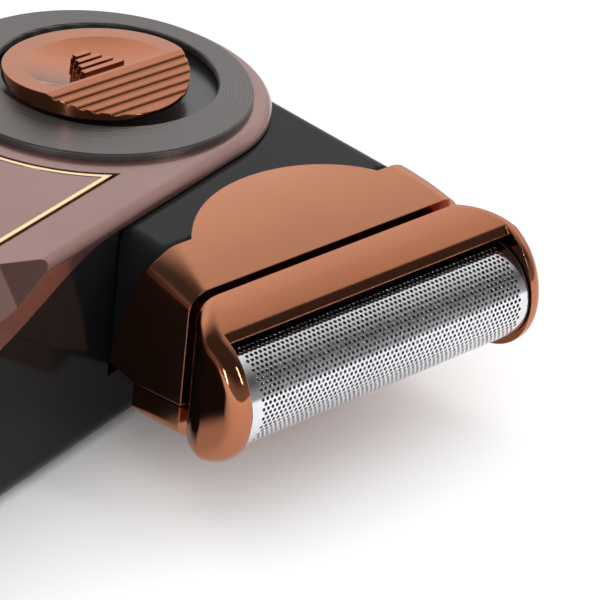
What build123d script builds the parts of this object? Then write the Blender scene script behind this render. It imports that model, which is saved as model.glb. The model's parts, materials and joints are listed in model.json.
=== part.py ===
"""Swivel-head foil shaver, built as separate pieces in one frame.

Millimetres.  Origin: the swivel axis where it meets the flat back.
+Z is up through the thickness, +Y runs from the tail to the round end of the
handle, and +X is the side that the head is folded to at rest.
"""
from build123d import *
from math import cos, pi, radians, sin, sqrt, tan
import os

# ---- handle -----------------------------------------------------------------
HANDLE_RADIUS = 22.7        # round end, and half the handle's width
TAIL_LENGTH = 100.0         # swivel axis to the tail
TAIL_CORNER = 15.0
BACK_EDGE = 3.0             # rounding along the back
COVER_TOP = 30.7
COVER_PLATE = 1.5
COVER_UNDER = COVER_TOP - COVER_PLATE
COVER_WALL = 1.8
COVER_ROUND = 1.6           # rounding along the cover's upper edge
COVER_SHELF = 26.7          # underside of the cover beside the bevel
COVER_REAR = -92.0          # rear end of its deeper hollow
SKIRT_LOW = 21.0            # lowest edge of the cover's skirt
SWEEP_START = -28.0         # where the cover's lower edge starts to sweep down
SWEEP_STEEP = -42.0         # where it falls most steeply
SWEEP_SOFT = 4.0            # how gently it turns there
SWEEP_END = -64.0
BEVEL_CORNER_Y = -38.5      # where the flat top starts to narrow
BEVEL_FADE = 13.0           # length over which it narrows
BEVEL_DEPTH = 4.0
BEVEL_ANGLE = 52.0
FLAT_HALF = 17.4            # half width of the flat top beside the bevel
BODY_WALL = 2.2
CLEAR = 2.0                 # how far cutting shapes reach past what they cut
SLAB_TOP = 9.0              # floor of the slot that the arm turns in
SLAB_SKIN = 1.6
SLAB_RIM = 1.0              # extra wall round the slab's hollow
CAVITY_FRONT = -29.5        # front end of the hollow behind the arm slot

# ---- ring, hub and switch ---------------------------------------------------
RING_TOP = 31.6
RING_RADIUS = 20.2
RING_EDGE = 0.2
RECESS_RADIUS = 14.4
RECESS_SHIFT = 2.4          # the recess sits a little towards the round end
HUB_RADIUS = 17.5
HUB_TOP = 29.9
HUB_CLEARANCE = 0.08
PEG_RADIUS = 1.2
PEG_CIRCLE = 12.5
KNOB_RADIUS = 11.9
KNOB_UNDER = 31.95
KNOB_EDGE = 32.5            # top of the knob's rim
KNOB_CREST = 34.3
KNOB_TRAVEL = 3.0
KNOB_RIBS = 6
TONGUE_WIDTH = 2.4
TONGUE_LENGTH = 4.0

# ---- swivel -----------------------------------------------------------------
FOLD_ANGLE = 76.4           # head axis to tail direction, at rest
ARM_HALF = 20.0
ARM_BOTTOM = 9.4
ARM_TOP = 29.0
ARM_SPLIT = 19.0
ARM_WALL = 1.8
ARM_EDGE = 2.0
ARM_LENGTH = 35.5
ARM_GAP = 0.6
AXLE_RADIUS = 4.0
AXLE_BORE = 2.5
AXLE_TOP = 14.8
AXLE_FLANGE = 3.0           # how far its foot reaches past the axle
FLANGE_SHEET = 1.2
CLIP_SEAT = 13.6            # underside of the retaining clip
CLIP_THICK = 0.7
CLIP_BITE = 0.6             # depth of its groove in the axle
CLIP_REACH = 2.2
CLIP_GAP = 3.0
SPRING_SHEET = 0.5
BUSH_RADIUS = 6.0
THRUST_RADIUS = 9.0
SPRING_RADIUS = 6.5
BUSH_CLEARANCE = 0.04
BUSH_TOP = 13.0

# ---- head -------------------------------------------------------------------
HOUSING_HALF = 22.5
HOUSING_FRONT = 43.3
HOUSING_BOTTOM = 7.6
HOUSING_SEAM = 0.25
LOBE_RADIUS = 20.6
LOBE_BACK = 28.5            # rearmost point of the top's round lobe
SHOULDER = 35.6             # rear edge of the top beside the lobe
FRAME_BACK = 44.7
FRAME_HALF_BACK = 22.6
FRAME_HALF = 26.1
FRAME_FRONT = 56.4
FRAME_ROUND = 2.0
FRAME_TOP_BACK = 27.9
LIP_FRONT = 51.2
LIP_BEVEL = 0.8            # slope along the lip above the foil
LIP_UNDER = 25.6
LIP_HIGH = 26.6
FRAME_BOTTOM = 9.2
SILL_FRONT = 49.6           # front of the bar below the foil
OPENING_HALF = 23.6
FOIL_H = 49.6
FOIL_Z = 17.6
FOIL_RADIUS = 6.5
FOIL_SHEET = 0.2
FOIL_HALF = 23.2
PLUG_INNER = 19.8
CHASSIS_BACK = 36.2
CHASSIS_FRONT = 47.0
CHASSIS_HALF = 20.2
CHASSIS_LOW = 11.0
CHASSIS_HIGH = 25.4
CHASSIS_WALL = 1.2
CUTTER_RADIUS = 6.0
CUTTER_HALF = 17.3
CUTTER_BACK = 49.4
BLADE_COUNT = 25
BLADE_SHEET = 0.35
STROKE = 1.2
MOTOR_RADIUS = 7.6
MOTOR_BACK = 9.8
MOTOR_FRONT = 29.6
MOTOR_Z = 18.4
MOTOR_HEIGHT = 11.6         # across its two flats
NOSE_RADIUS = 2.2
NOSE_LENGTH = 0.8

HEAD_TURN = radians(FOLD_ANGLE - 90.0)
HEAD_X = Vector(cos(HEAD_TURN), sin(HEAD_TURN), 0)
HEAD_Y = Vector(-sin(HEAD_TURN), cos(HEAD_TURN), 0)
UP = Vector(0, 0, 1)


def head_level(height):
    """Level plane in the head's own direction: x along it, y across it."""
    return Plane(origin=(0, 0, height), x_dir=HEAD_X, z_dir=UP)


def head_profile(across=0.0):
    """Upright plane along the head: x along it, y up, facing its left side."""
    return Plane(origin=HEAD_Y * across, x_dir=HEAD_X, z_dir=-HEAD_Y)


def head_section(along):
    """Upright plane across the head: x across it, y up, facing forwards."""
    return Plane(origin=HEAD_X * along, x_dir=HEAD_Y, z_dir=HEAD_X)


def handle_outline(sketch, inset=0.0):
    """Plan of the handle: a round end at the swivel and a rounded tail."""
    half = HANDLE_RADIUS - inset
    length = TAIL_LENGTH - inset
    Circle(half)
    with Locations((0, -length / 2)):
        Rectangle(2 * half, length)
    fillet(sketch.vertices().group_by(Axis.Y)[0], TAIL_CORNER - inset)


def slot_outline(half, length):
    """Plan of the arm: round about the swivel, straight towards the head."""
    Circle(half)
    with Locations((length / 2, 0)):
        Rectangle(length, 2 * half)


def sweep_edge(above):
    """Side view of what lies above or below the cover's sweeping lower edge."""
    front = HANDLE_RADIUS + CLEAR
    rear = -TAIL_LENGTH - CLEAR
    limit = COVER_TOP + CLEAR if above else SKIRT_LOW - CLEAR
    with BuildSketch(Plane.YZ) as side_view:
        with BuildLine():
            Line((front, limit), (front, COVER_UNDER))
            Line((front, COVER_UNDER), (SWEEP_START, COVER_UNDER))
            Bezier(
                (SWEEP_START, COVER_UNDER),
                (SWEEP_STEEP + SWEEP_SOFT, COVER_UNDER),
                (SWEEP_STEEP - SWEEP_SOFT, SKIRT_LOW),
                (SWEEP_END, SKIRT_LOW),
            )
            Line((SWEEP_END, SKIRT_LOW), (rear, SKIRT_LOW))
            Line((rear, SKIRT_LOW), (rear, limit))
            Line((rear, limit), (front, limit))
        make_face()
    return side_view.sketch


# ---- handle pieces ----------------------------------------------------------
SCREW_POSTS = [(x, y) for x in (-16.5, 16.5) for y in (-38.0, -84.0)]
POST_RADIUS = 2.6
POST_FOOT = 12.0
POST_WALL = 1.0             # wall of the lower post round a screw
SCREW_RADIUS = 1.1
SCREW_HEAD = 2.1
SCREW_SEAT = 3.0
SCREW_TIP = 20.0
SMALL_SCREW = 0.9
SMALL_SCREW_HOLE = 0.95
SCREW_HEX = 0.9             # half width of the key recess across its corners
SCREW_HEAD_DEPTH = 1.3
SCREW_SLACK = 0.2           # room round a screw's head
INLAY_HALF = 16.0
INLAY_ARC = 23.3
INLAY_END = -84.0
INLAY_DEPTH = 0.8
INLAY_CORNER = 9.0
TRIM_WIDTH = 0.6
TRIM_PROUD = 0.05           # the trim stands this far above the cover
GROOVE_WIDTH = 0.5


def inlay_outline(sketch, inset=0.0):
    """Plan of the inlay: hollow at the ring end, round at the tail end."""
    half = INLAY_HALF - inset
    top = -sqrt(INLAY_ARC ** 2 - INLAY_HALF ** 2)
    with Locations((0, (top + INLAY_END) / 2)):
        Rectangle(2 * half, top - INLAY_END - 2 * inset)
    fillet(sketch.vertices().group_by(Axis.Y)[0], INLAY_CORNER - inset)
    Circle(INLAY_ARC + inset, mode=Mode.SUBTRACT)


def bevel_strip(side):
    """Plan of the strip beside the narrowed flat top, on one side."""
    edge = side * (HANDLE_RADIUS + 0.2)
    far = side * (HANDLE_RADIUS + 14.0)
    rear = -TAIL_LENGTH - 12.0
    with BuildSketch(Plane.XY.offset(COVER_TOP)) as strip:
        with BuildLine():
            Polyline(
                (edge, BEVEL_CORNER_Y),
                (side * (FLAT_HALF + 1.0), BEVEL_CORNER_Y - BEVEL_FADE / 2),
                (side * FLAT_HALF, BEVEL_CORNER_Y - BEVEL_FADE),
                (side * FLAT_HALF, rear),
                (far, rear),
                (far, BEVEL_CORNER_Y + 8.0),
                (edge, BEVEL_CORNER_Y),
            )
        make_face()
    return strip.sketch


def top_cover():
    with BuildPart() as cover:
        with BuildSketch(Plane.XY.offset(SKIRT_LOW)) as outline:
            handle_outline(outline)
        extrude(amount=COVER_TOP - SKIRT_LOW)
        fillet(cover.faces().sort_by(Axis.Z)[-1].edges(), COVER_ROUND)
        for side in (-1, 1):
            extrude(bevel_strip(side), amount=-BEVEL_DEPTH, taper=BEVEL_ANGLE, mode=Mode.SUBTRACT)
        extrude(sweep_edge(above=False), amount=HANDLE_RADIUS + 1, both=True, mode=Mode.SUBTRACT)
        with BuildSketch(Plane.XY.offset(SKIRT_LOW)) as hollow:
            handle_outline(hollow, COVER_WALL)
            with Locations((0, HANDLE_RADIUS + CAVITY_FRONT)):
                Rectangle(4 * HANDLE_RADIUS, 2 * HANDLE_RADIUS, mode=Mode.SUBTRACT)
        extrude(amount=COVER_SHELF - SKIRT_LOW, mode=Mode.SUBTRACT)
        with BuildSketch(Plane.XY.offset(SKIRT_LOW)):
            with Locations((0, (CAVITY_FRONT + COVER_REAR) / 2)):
                Rectangle(2 * (FLAT_HALF - COVER_WALL), CAVITY_FRONT - COVER_REAR)
        extrude(amount=COVER_UNDER - SKIRT_LOW, mode=Mode.SUBTRACT)
        with BuildSketch(Plane.XY.offset(COVER_TOP)) as inlay_seat:
            inlay_outline(inlay_seat)
        extrude(amount=-INLAY_DEPTH, mode=Mode.SUBTRACT)
        with BuildSketch(Plane.XY.offset(POST_FOOT)):
            with Locations(*SCREW_POSTS):
                Circle(POST_RADIUS)
        extrude(amount=COVER_UNDER - INLAY_DEPTH - POST_FOOT)
        with BuildSketch(Plane.XY.offset(POST_FOOT)):
            with Locations(*SCREW_POSTS):
                Circle(SCREW_RADIUS)
        extrude(amount=SCREW_TIP - POST_FOOT, mode=Mode.SUBTRACT)
        with BuildSketch(Plane.XY.offset(COVER_UNDER)):
            Circle(HUB_RADIUS + HUB_CLEARANCE)
        extrude(amount=COVER_PLATE, mode=Mode.SUBTRACT)
    return cover


def inlay_trim():
    with BuildPart() as trim:
        with BuildSketch(Plane.XY.offset(COVER_TOP - INLAY_DEPTH)) as band:
            inlay_outline(band, GROOVE_WIDTH)
        extrude(amount=INLAY_DEPTH + TRIM_PROUD)
        with BuildSketch(Plane.XY.offset(COVER_TOP - INLAY_DEPTH)) as middle:
            inlay_outline(middle, GROOVE_WIDTH + TRIM_WIDTH)
        extrude(amount=INLAY_DEPTH + CLEAR, mode=Mode.SUBTRACT)
    return trim


def inlay_plate():
    with BuildPart() as plate:
        with BuildSketch(Plane.XY.offset(COVER_TOP - INLAY_DEPTH)) as panel:
            inlay_outline(panel, GROOVE_WIDTH + TRIM_WIDTH)
        extrude(amount=INLAY_DEPTH)
    return plate


SOCKET_Z = 13.0
SOCKET_WIDTH = 9.2
SOCKET_HEIGHT = 3.6
SOCKET_CORNER = 1.2
SOCKET_DEPTH = 8.0
SOCKET_SHELL = 0.4
SOCKET_FLOOR = 1.2
TONGUE_SIDE = 1.5           # gap beside the socket's contact tongue
TONGUE_SHEET = 0.7
LIGHT_X = 6.8
LIGHT_RADIUS = 1.0
LIGHT_LENGTH = 6.0
LIGHT_ROUND = 0.3


def lower_body():
    reach = ARM_HALF + ARM_GAP
    apex = -reach / cos(HEAD_TURN)
    side = HANDLE_RADIUS + CLEAR
    edge = apex + side * tan(HEAD_TURN)
    with BuildPart() as body:
        with BuildSketch() as outline:
            handle_outline(outline)
        extrude(amount=COVER_TOP)
        fillet(body.faces().sort_by(Axis.Z)[0].edges(), BACK_EDGE)
        extrude(sweep_edge(above=True), amount=HANDLE_RADIUS + 1, both=True, mode=Mode.SUBTRACT)
        with BuildSketch(Plane.XY.offset(SLAB_TOP)):
            Polygon(
                (0, apex), (side, edge), (side, side), (-side, side), (-side, edge),
                align=None,
            )
        extrude(amount=COVER_TOP, mode=Mode.SUBTRACT)
        with BuildSketch(Plane.XY.offset(BODY_WALL)) as slab_hollow:
            handle_outline(slab_hollow, BODY_WALL + SLAB_RIM)
        extrude(amount=SLAB_TOP - SLAB_SKIN - BODY_WALL, mode=Mode.SUBTRACT)
        with BuildSketch(Plane.XY.offset(SLAB_TOP - SLAB_SKIN)) as hollow:
            handle_outline(hollow, BODY_WALL)
            with Locations((0, HANDLE_RADIUS + CAVITY_FRONT)):
                Rectangle(4 * HANDLE_RADIUS, 2 * HANDLE_RADIUS, mode=Mode.SUBTRACT)
        extrude(amount=COVER_TOP, mode=Mode.SUBTRACT)
        with BuildSketch(Plane.XY.offset(BODY_WALL)):
            with Locations(*SCREW_POSTS):
                Circle(POST_RADIUS + POST_WALL)
        extrude(amount=POST_FOOT - BODY_WALL)
        with BuildSketch():
            with Locations(*SCREW_POSTS):
                Circle(SCREW_HEAD + SCREW_SLACK)
        extrude(amount=SCREW_SEAT, mode=Mode.SUBTRACT)
        with BuildSketch():
            with Locations(*SCREW_POSTS):
                Circle(SCREW_RADIUS)
        extrude(amount=POST_FOOT, mode=Mode.SUBTRACT)
        with BuildSketch(Plane.XY.offset(SLAB_TOP - SLAB_SKIN)):
            Circle(AXLE_RADIUS)
        extrude(amount=SLAB_SKIN, mode=Mode.SUBTRACT)
        with BuildSketch(Plane.XZ.offset(TAIL_LENGTH - BODY_WALL)):
            with Locations((0, SOCKET_Z)):
                RectangleRounded(SOCKET_WIDTH, SOCKET_HEIGHT, SOCKET_CORNER)
            with Locations((LIGHT_X, SOCKET_Z)):
                Circle(LIGHT_RADIUS)
        extrude(amount=BODY_WALL, mode=Mode.SUBTRACT)
    return body


def handle_screws():
    with BuildPart() as screws:
        with BuildSketch(Plane.XY.offset(SCREW_SEAT)):
            with Locations(*SCREW_POSTS):
                Circle(SCREW_RADIUS)
        extrude(amount=SCREW_TIP - SCREW_SEAT - SCREW_SLACK)
        with BuildSketch(Plane.XY.offset(SCREW_SEAT)):
            with Locations(*SCREW_POSTS):
                Circle(SCREW_HEAD)
                RegularPolygon(SCREW_HEX, 6, mode=Mode.SUBTRACT)
        extrude(amount=-SCREW_HEAD_DEPTH)
    return screws


BATTERY_RADIUS = 7.0
BATTERY_LENGTH = 48.0
BATTERY_Y = -60.0
BATTERY_Z = BODY_WALL + BATTERY_RADIUS + 1.0
BATTERY_ROUND = 0.6
CAP_RADIUS = 2.6            # the battery's raised end contact
CAP_HEIGHT = 0.8
CLIP_SHEET = 0.5
CLIP_WIDTH = 9.0
CLIP_HEIGHT = 15.0
CLIP_CORNER = 1.0
CLIP_Z = BATTERY_Z + 1.0


def battery():
    with BuildPart() as cell:
        with BuildSketch(Plane.XZ.offset(-BATTERY_Y - BATTERY_LENGTH / 2)):
            with Locations((0, BATTERY_Z)):
                Circle(BATTERY_RADIUS)
        extrude(amount=BATTERY_LENGTH)
        fillet(cell.edges().filter_by(GeomType.CIRCLE), BATTERY_ROUND)
        with BuildSketch(Plane.XZ.offset(-BATTERY_Y - BATTERY_LENGTH / 2)):
            with Locations((0, BATTERY_Z)):
                Circle(CAP_RADIUS)
        extrude(amount=-CAP_HEIGHT)
    return cell


def battery_clips():
    with BuildPart() as clips:
        with BuildSketch(Plane.XZ.offset(-BATTERY_Y + BATTERY_LENGTH / 2)):
            with Locations((0, CLIP_Z)):
                RectangleRounded(CLIP_WIDTH, CLIP_HEIGHT, CLIP_CORNER)
        extrude(amount=CLIP_SHEET)
        with BuildSketch(Plane.XZ.offset(-BATTERY_Y - BATTERY_LENGTH / 2 - CAP_HEIGHT)):
            with Locations((0, CLIP_Z)):
                RectangleRounded(CLIP_WIDTH, CLIP_HEIGHT, CLIP_CORNER)
        extrude(amount=-CLIP_SHEET)
    return clips


BOARD_Z = 19.6
BOARD_SHEET = 1.2
BOARD_Y = -62.0
BOARD_WIDTH = 24.0
BOARD_LENGTH = 58.0
BOARD_CORNER = 2.0
CHIPS = [(-6.0, -50.0), (5.0, -64.0), (-4.0, -78.0)]
CHIP_SIZE = (7.0, 5.0)
RESISTORS = [(6.0, -48.0), (-6.0, -64.0)]
RESISTOR_SIZE = (3.0, 1.6)
CHIP_HEIGHT = 1.1


def circuit_board():
    with BuildPart() as board:
        with BuildSketch(Plane.XY.offset(BOARD_Z)):
            with Locations((0, BOARD_Y)):
                RectangleRounded(BOARD_WIDTH, BOARD_LENGTH, BOARD_CORNER)
        extrude(amount=BOARD_SHEET)
        with BuildSketch(Plane.XY.offset(BOARD_Z + BOARD_SHEET)):
            with Locations(*CHIPS):
                Rectangle(*CHIP_SIZE)
            with Locations(*RESISTORS):
                Rectangle(*RESISTOR_SIZE)
        extrude(amount=CHIP_HEIGHT)
    return board


def charging_socket():
    with BuildPart() as socket:
        with BuildSketch(Plane.XZ.offset(TAIL_LENGTH - SOCKET_DEPTH)):
            with Locations((0, SOCKET_Z)):
                RectangleRounded(SOCKET_WIDTH, SOCKET_HEIGHT, SOCKET_CORNER)
        extrude(amount=SOCKET_DEPTH - SOCKET_SHELL)
        with BuildSketch(Plane.XZ.offset(TAIL_LENGTH - SOCKET_DEPTH + SOCKET_FLOOR)):
            with Locations((0, SOCKET_Z)):
                RectangleRounded(
                    SOCKET_WIDTH - 2 * SOCKET_SHELL,
                    SOCKET_HEIGHT - 2 * SOCKET_SHELL,
                    SOCKET_CORNER - SOCKET_SHELL,
                )
                Rectangle(SOCKET_WIDTH - 2 * TONGUE_SIDE, TONGUE_SHEET, mode=Mode.SUBTRACT)
        extrude(amount=SOCKET_DEPTH, mode=Mode.SUBTRACT)
    return socket


def charge_light():
    with BuildPart() as light:
        with BuildSketch(Plane.XZ.offset(TAIL_LENGTH - LIGHT_LENGTH)):
            with Locations((LIGHT_X, SOCKET_Z)):
                Circle(LIGHT_RADIUS)
        extrude(amount=LIGHT_LENGTH)
        fillet(light.faces().sort_by(Axis.Y)[0].edges(), LIGHT_ROUND)
    return light


def bezel_ring():
    with BuildPart() as ring:
        with BuildSketch(Plane.XY.offset(COVER_TOP)):
            Circle(RING_RADIUS)
        extrude(amount=RING_TOP - COVER_TOP)
        chamfer(ring.faces().sort_by(Axis.Z)[-1].edges(), RING_EDGE)
        with BuildSketch(Plane.XY.offset(COVER_TOP)):
            with Locations((0, RECESS_SHIFT)):
                Circle(RECESS_RADIUS)
        extrude(amount=RING_TOP - COVER_TOP, mode=Mode.SUBTRACT)
        top_hole = ring.edges().filter_by(GeomType.CIRCLE).group_by(Axis.Z)[-1]
        chamfer(top_hole.sort_by(SortBy.RADIUS)[0], RING_EDGE)
    return ring


# ---- swivel pieces ----------------------------------------------------------
def pivot_axle():
    floor = SLAB_TOP - SLAB_SKIN
    with BuildPart() as axle:
        with BuildSketch(Plane.XY.offset(floor - FLANGE_SHEET)):
            Circle(AXLE_RADIUS + AXLE_FLANGE)
        extrude(amount=FLANGE_SHEET)
        with BuildSketch(Plane.XY.offset(floor)):
            Circle(AXLE_RADIUS)
        extrude(amount=AXLE_TOP - floor)
        with BuildSketch(Plane.XY.offset(CLIP_SEAT)):
            Circle(AXLE_RADIUS)
            Circle(AXLE_RADIUS - CLIP_BITE, mode=Mode.SUBTRACT)
        extrude(amount=CLIP_THICK, mode=Mode.SUBTRACT)
        with BuildSketch(Plane.XY.offset(floor - FLANGE_SHEET)):
            Circle(AXLE_BORE)
        extrude(amount=AXLE_TOP, mode=Mode.SUBTRACT)
    return axle


def flat_ring(low, high, outer, inner):
    """A plain washer between two heights on the swivel axis."""
    with BuildPart() as washer:
        with BuildSketch(Plane.XY.offset(low)):
            Circle(outer)
            Circle(inner, mode=Mode.SUBTRACT)
        extrude(amount=high - low)
    return washer


def thrust_washer():
    return flat_ring(SLAB_TOP, ARM_BOTTOM, THRUST_RADIUS, AXLE_RADIUS)


def spring_washer():
    return flat_ring(CLIP_SEAT - SPRING_SHEET, CLIP_SEAT, SPRING_RADIUS, AXLE_RADIUS)


def retaining_clip():
    outer = AXLE_RADIUS + CLIP_REACH
    with BuildPart() as clip:
        with BuildSketch(Plane.XY.offset(CLIP_SEAT)):
            Circle(outer)
            Circle(AXLE_RADIUS - CLIP_BITE, mode=Mode.SUBTRACT)
            with Locations((outer, 0)):
                Rectangle(2 * outer, CLIP_GAP, mode=Mode.SUBTRACT)
        extrude(amount=CLIP_THICK)
    return clip


def pivot_bush():
    bore = AXLE_RADIUS + BUSH_CLEARANCE
    with BuildPart() as bush:
        with BuildSketch(Plane.XY.offset(ARM_BOTTOM)):
            Circle(BUSH_RADIUS)
            Circle(bore, mode=Mode.SUBTRACT)
        extrude(amount=BUSH_TOP - ARM_BOTTOM)
    return bush


SWITCH_SLOT = 1.4
SLOT_SLACK = 0.4
ARM_POST = 2.6
ARM_POST_UPPER = 2.2
ARM_SCREW_SEAT = 2.4        # depth of the counterbore under the arm
ARM_SCREW_HEAD = 1.8
ARM_SCREW_HEX = 0.8
ARM_SCREW_REACH = 4.0
BUSH_WALL = 1.6
ARM_POSTS = [(-11.0, 9.5), (-11.0, -9.5), (22.0, 15.2), (22.0, -15.2)]
PEGS = [(PEG_CIRCLE * cos(a * 2 * pi / 3), PEG_CIRCLE * sin(a * 2 * pi / 3)) for a in range(3)]


def switch_slot_plan():
    with Locations((KNOB_TRAVEL / 2, 0)):
        Rectangle(TONGUE_LENGTH + KNOB_TRAVEL + SLOT_SLACK, 2 * SWITCH_SLOT)


def arm_upper_shell():
    with BuildPart() as shell:
        with BuildSketch(head_level(ARM_SPLIT)):
            slot_outline(ARM_HALF, ARM_LENGTH)
        extrude(amount=ARM_TOP - ARM_SPLIT)
        fillet(shell.faces().sort_by(Axis.Z)[-1].edges(), ARM_EDGE)
        with BuildSketch(head_level(ARM_SPLIT)):
            slot_outline(ARM_HALF - ARM_WALL, ARM_LENGTH + CLEAR)
        extrude(amount=ARM_TOP - ARM_WALL - ARM_SPLIT, mode=Mode.SUBTRACT)
        with BuildSketch(head_level(ARM_SPLIT)):
            with Locations(*ARM_POSTS):
                Circle(ARM_POST_UPPER)
                Circle(SMALL_SCREW, mode=Mode.SUBTRACT)
        extrude(amount=ARM_TOP - ARM_WALL - ARM_SPLIT)
        with BuildSketch(head_level(ARM_TOP - ARM_WALL)):
            switch_slot_plan()
            with Locations(*PEGS):
                Circle(PEG_RADIUS)
        extrude(amount=ARM_WALL, mode=Mode.SUBTRACT)
    return shell


def arm_lower_shell():
    with BuildPart() as shell:
        with BuildSketch(head_level(ARM_BOTTOM)):
            slot_outline(ARM_HALF, ARM_LENGTH)
        extrude(amount=ARM_SPLIT - ARM_BOTTOM)
        fillet(shell.faces().sort_by(Axis.Z)[0].edges(), ARM_EDGE)
        with BuildSketch(head_level(ARM_BOTTOM + ARM_WALL)):
            slot_outline(ARM_HALF - ARM_WALL, ARM_LENGTH + CLEAR)
        extrude(amount=ARM_SPLIT, mode=Mode.SUBTRACT)
        with BuildSketch(head_level(ARM_BOTTOM)):
            Circle(BUSH_RADIUS + BUSH_WALL)
            with Locations(*ARM_POSTS):
                Circle(ARM_POST)
        extrude(amount=BUSH_TOP - ARM_BOTTOM)
        with BuildSketch(head_level(BUSH_TOP)):
            with Locations(*ARM_POSTS):
                Circle(ARM_POST)
        extrude(amount=ARM_SPLIT - BUSH_TOP)
        with BuildSketch(head_level(ARM_BOTTOM)):
            Circle(BUSH_RADIUS)
        extrude(amount=ARM_SPLIT, mode=Mode.SUBTRACT)
        with BuildSketch(head_level(ARM_BOTTOM)):
            with Locations(*ARM_POSTS):
                Circle(ARM_SCREW_HEAD + SCREW_SLACK / 2)
        extrude(amount=ARM_SCREW_SEAT, mode=Mode.SUBTRACT)
        with BuildSketch(head_level(ARM_BOTTOM)):
            with Locations(*ARM_POSTS):
                Circle(SMALL_SCREW_HOLE)
        extrude(amount=ARM_SPLIT, mode=Mode.SUBTRACT)
    return shell


def arm_screws():
    seat = ARM_BOTTOM + ARM_SCREW_SEAT
    with BuildPart() as screws:
        with BuildSketch(head_level(seat)):
            with Locations(*ARM_POSTS):
                Circle(SMALL_SCREW)
        extrude(amount=ARM_SPLIT + ARM_SCREW_REACH - seat)
        with BuildSketch(head_level(seat)):
            with Locations(*ARM_POSTS):
                Circle(ARM_SCREW_HEAD)
                RegularPolygon(ARM_SCREW_HEX, 6, mode=Mode.SUBTRACT)
        extrude(amount=-SCREW_HEAD_DEPTH)
    return screws


def hub_plate():
    with BuildPart() as plate:
        with BuildSketch(head_level(ARM_TOP)):
            Circle(HUB_RADIUS)
        extrude(amount=HUB_TOP - ARM_TOP)
        with BuildSketch(head_level(ARM_TOP)):
            switch_slot_plan()
        extrude(amount=HUB_TOP - ARM_TOP, mode=Mode.SUBTRACT)
        with BuildSketch(head_level(ARM_TOP - ARM_WALL)):
            with Locations(*PEGS):
                Circle(PEG_RADIUS)
        extrude(amount=ARM_WALL)
    return plate


SWITCH_BODY_LOW = 22.2
SWITCH_BODY_LENGTH = 13.0
SWITCH_BODY_WIDTH = 6.5
SWITCH_LIFT = 0.15          # gap between the knob's neck and the hub
TONGUE_SLACK = 0.3
TONGUE_LOW = 25.2
KNOB_NECK = 5.5
KNOB_RIDGE = 3.4            # where the ribbed ramp meets the scoop
RIDGE_THICK = 0.5
RIB_GROOVE = 0.42
GROOVE_RISE = 0.15
DISH_RADIUS = 34.0
DISH_BACK = -3.0
DISH_LOW = 32.5
BLOCK_STEPS = 4
BLOCK_FRONT = 1.2
BLOCK_PITCH = 1.35
BLOCK_RIB = 0.8
BLOCK_HALF = 3.3
BLOCK_TAPER = 0.7
BLOCK_FOOT = 32.15
BLOCK_LOW = 33.5
BLOCK_HIGH = 34.1


def slide_switch():
    top = ARM_TOP - ARM_WALL
    with BuildPart() as switch:
        with BuildSketch(head_level(SWITCH_BODY_LOW)):
            with Locations((KNOB_TRAVEL / 2, 0)):
                Rectangle(SWITCH_BODY_LENGTH, SWITCH_BODY_WIDTH)
        extrude(amount=top - SWITCH_BODY_LOW)
        with BuildSketch(head_level(TONGUE_LOW - TONGUE_SLACK)):
            switch_slot_plan()
        extrude(amount=top, mode=Mode.SUBTRACT)
    return switch


def knob_roof():
    """Side view of what lies above the knob's two slopes."""
    slope = (KNOB_CREST - KNOB_EDGE) / (KNOB_RADIUS - KNOB_RIDGE)
    far = KNOB_RADIUS + CLEAR
    above = KNOB_CREST + CLEAR
    with BuildSketch(head_profile()) as side_view:
        with BuildLine():
            Polyline(
                (KNOB_RIDGE, KNOB_CREST),
                (far, KNOB_EDGE - slope * CLEAR),
                (far, above),
                (-far, above),
                (-far, KNOB_EDGE),
                (KNOB_RIDGE, KNOB_CREST),
            )
        make_face()
    return side_view.sketch


def knob_dish():
    """The scoop behind the ridge: part of a ball, cut off at the ridge."""
    centre = HEAD_X * DISH_BACK + UP * (DISH_LOW + DISH_RADIUS)
    with BuildPart() as dish:
        with Locations(centre):
            Sphere(DISH_RADIUS)
        split(bisect_by=head_section(KNOB_RIDGE - RIDGE_THICK), keep=Keep.BOTTOM)
    return dish.part


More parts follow.
